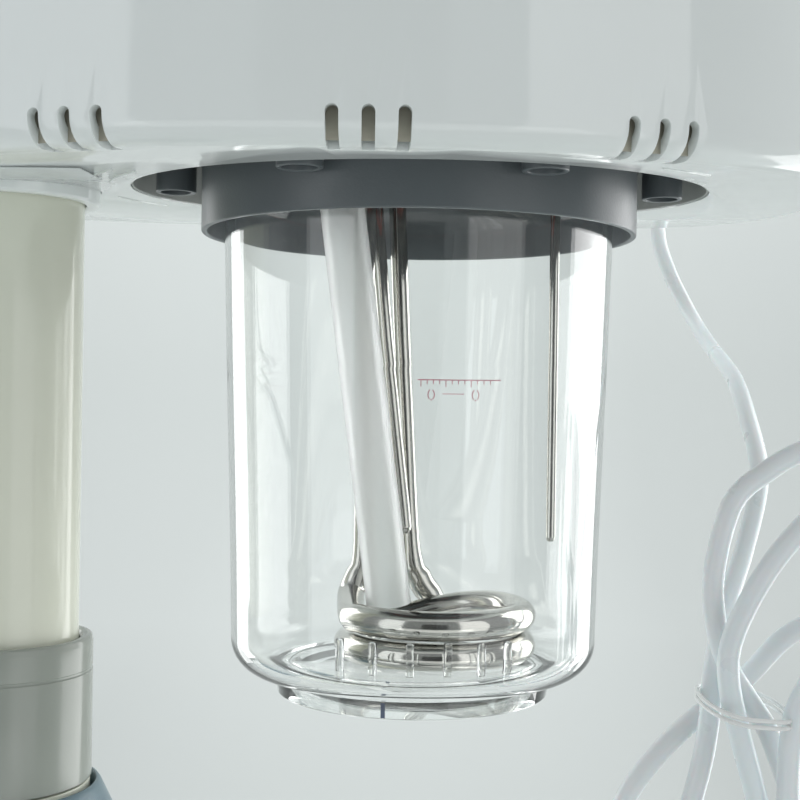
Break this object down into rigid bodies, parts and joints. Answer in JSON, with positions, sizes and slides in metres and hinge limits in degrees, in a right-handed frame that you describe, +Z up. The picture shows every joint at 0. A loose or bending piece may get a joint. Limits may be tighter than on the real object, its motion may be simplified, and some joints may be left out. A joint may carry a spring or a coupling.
{
  "type": "facial steamer",
  "caption": "Salon facial steamer: boiler head with a clear screw-in jar and heating coil, telescopic pole, five-leg caster base and jointed steam arm.",
  "frame": {"origin": "on the floor, at the centre of the footprint", "axes": "+X to the right, +Y to the back, +Z up; the vents and the nozzle face -Y"},
  "size_m": [0.5504, 0.566, 1.0737],
  "materials": {
    "white_shell": "glossy off-white ABS",
    "cream_pole": "cream powder coat",
    "grey_sleeve": "light grey moulded",
    "slate_nut": "blue-grey moulded",
    "dark_collar": "dark grey moulded",
    "clear_jar": "clear, polished",
    "steel": "polished stainless steel",
    "silicone": "milky translucent silicone",
    "red_seal": "red silicone seal",
    "cord_white": "white flexible PVC",
    "brass": "turned",
    "circuit_green": "green board",
    "black_rubber": "black moulded",
    "panel_grey": "grey moulded",
    "button_white": "white moulded",
    "lamp_glass": "clear lamp glass"
  },
  "bodies": {
    "base": {"star_base": "white_shell", "outer_pole": "cream_pole", "pole_sleeve": "grey_sleeve"},
    "nut": {"lock_nut": "slate_nut"},
    "mast": {"inner_pole": "cream_pole", "guide_bush": "black_rubber"},
    "head": {"pole_socket": "white_shell", "head_lower_shell": "white_shell", "recess_liner": "grey_sleeve", "head_upper_shell": "white_shell", "jar_collar": "dark_collar", "collar_screw_1": "steel", "collar_screw_2": "steel", "collar_screw_3": "steel", "collar_screw_4": "steel", "collar_screw_5": "steel", "collar_screw_6": "steel", "boiler_lid": "dark_collar", "heater_coil": "steel", "heater_nut_left": "brass", "heater_nut_right": "brass", "sensor_well": "steel", "level_probe": "steel", "probe_bush": "silicone", "splash_tube": "silicone", "steam_duct": "silicone", "control_panel": "panel_grey", "control_board": "circuit_green", "timer_motor": "steel", "terminal_block": "button_white", "power_supply": "panel_grey", "ozone_lamp": "lamp_glass", "lamp_holder": "button_white", "thermal_cutout": "steel", "strain_relief": "cord_white", "power_cord": "cord_white", "cord_hank": "cord_white", "cord_tail": "cord_white", "mains_plug": "cord_white"},
    "seal": {"jar_gasket": "red_seal"},
    "jar": {"jar": "clear_jar"},
    "power_button": {"power_button": "button_white"},
    "ozone_button": {"ozone_button": "button_white"},
    "timer_knob": {"timer_knob": "dark_collar"},
    "turret": {"arm_turret": "white_shell", "arm_pin": "steel"},
    "arm": {"steam_arm": "white_shell"},
    "nozzle": {"steam_nozzle": "white_shell", "nozzle_grille": "slate_nut"},
    "caster_1": {"caster_fork_1": "grey_sleeve"},
    "wheels_1": {"caster_wheels_1": "black_rubber"},
    "caster_2": {"caster_fork_2": "grey_sleeve"},
    "wheels_2": {"caster_wheels_2": "black_rubber"},
    "caster_3": {"caster_fork_3": "grey_sleeve"},
    "wheels_3": {"caster_wheels_3": "black_rubber"},
    "caster_4": {"caster_fork_4": "grey_sleeve"},
    "wheels_4": {"caster_wheels_4": "black_rubber"},
    "caster_5": {"caster_fork_5": "grey_sleeve"},
    "wheels_5": {"caster_wheels_5": "black_rubber"}
  },
  "joints": [
    {"name": "nut_turn", "type": "hinge", "parent": "base", "child": "nut", "pos_m": [-0.02398, 0, 0.52], "axis": [0, 0, 1], "range_deg": [0, 270]},
    {"name": "mast_slide", "type": "slide", "parent": "base", "child": "mast", "axis": [0, 0, 1], "range_m": [-0.12, 0.2]},
    {"name": "head_swivel", "type": "hinge", "parent": "mast", "child": "head", "pos_m": [-0.02398, 0, 0.72], "axis": [0, 0, 1], "range_deg": [-170, 170]},
    {"name": "jar_drop", "type": "slide", "parent": "head", "child": "seal", "axis": [0, 0, 1], "range_m": [-0.16, 0]},
    {"name": "jar_twist", "type": "hinge", "parent": "seal", "child": "jar", "pos_m": [0.10102, 0, 0.72], "axis": [0, 0, 1], "range_deg": [-90, 0]},
    {"name": "power_press", "type": "slide", "parent": "head", "child": "power_button", "axis": [0, 0, -1], "range_m": [0, 0.002], "stiffness_N_per_m": 300, "springref_m": -0.002},
    {"name": "ozone_press", "type": "slide", "parent": "head", "child": "ozone_button", "axis": [0, 0, -1], "range_m": [0, 0.002], "stiffness_N_per_m": 300, "springref_m": -0.002},
    {"name": "timer_turn", "type": "hinge", "parent": "head", "child": "timer_knob", "pos_m": [0.03702, -0.034, 0.866], "axis": [0, 0, 1], "range_deg": [-300, 0]},
    {"name": "arm_swivel", "type": "hinge", "parent": "head", "child": "turret", "pos_m": [0.10102, 0, 0.866], "axis": [0, 0, 1], "range_deg": [-150, 150]},
    {"name": "arm_tilt", "type": "hinge", "parent": "turret", "child": "arm", "pos_m": [0.10102, 0, 0.9005], "axis": [1, 0, 0], "range_deg": [-40, 30]},
    {"name": "nozzle_turn", "type": "hinge", "parent": "arm", "child": "nozzle", "pos_m": [0.10102, 0, 0.9005], "axis": [0, -0.7431, 0.6691], "range_deg": [-180, 180]},
    {"name": "caster_1_swivel", "type": "hinge", "parent": "base", "child": "caster_1", "pos_m": [0.22602, 0, 0.05], "axis": [0, 0, 1], "continuous": true},
    {"name": "wheel_1_roll", "type": "hinge", "parent": "caster_1", "child": "wheels_1", "pos_m": [0.24202, 0, 0.02437], "axis": [0, -1, 0], "continuous": true},
    {"name": "caster_2_swivel", "type": "hinge", "parent": "base", "child": "caster_2", "pos_m": [0.05328, 0.23776, 0.05], "axis": [0, 0, 1], "continuous": true},
    {"name": "wheel_2_roll", "type": "hinge", "parent": "caster_2", "child": "wheels_2", "pos_m": [0.05822, 0.25298, 0.02437], "axis": [0.9511, -0.309, 0], "continuous": true},
    {"name": "caster_3_swivel", "type": "hinge", "parent": "base", "child": "caster_3", "pos_m": [-0.22623, 0.14695, 0.05], "axis": [0, 0, 1], "continuous": true},
    {"name": "wheel_3_roll", "type": "hinge", "parent": "caster_3", "child": "wheels_3", "pos_m": [-0.23918, 0.15635, 0.02437], "axis": [0.5878, 0.809, 0], "continuous": true},
    {"name": "caster_4_swivel", "type": "hinge", "parent": "base", "child": "caster_4", "pos_m": [-0.22623, -0.14695, 0.05], "axis": [0, 0, 1], "continuous": true},
    {"name": "wheel_4_roll", "type": "hinge", "parent": "caster_4", "child": "wheels_4", "pos_m": [-0.23918, -0.15635, 0.02437], "axis": [-0.5878, 0.809, 0], "continuous": true},
    {"name": "caster_5_swivel", "type": "hinge", "parent": "base", "child": "caster_5", "pos_m": [0.05328, -0.23776, 0.05], "axis": [0, 0, 1], "continuous": true},
    {"name": "wheel_5_roll", "type": "hinge", "parent": "caster_5", "child": "wheels_5", "pos_m": [0.05822, -0.25298, 0.02437], "axis": [-0.9511, -0.309, 0], "continuous": true}
  ]
}
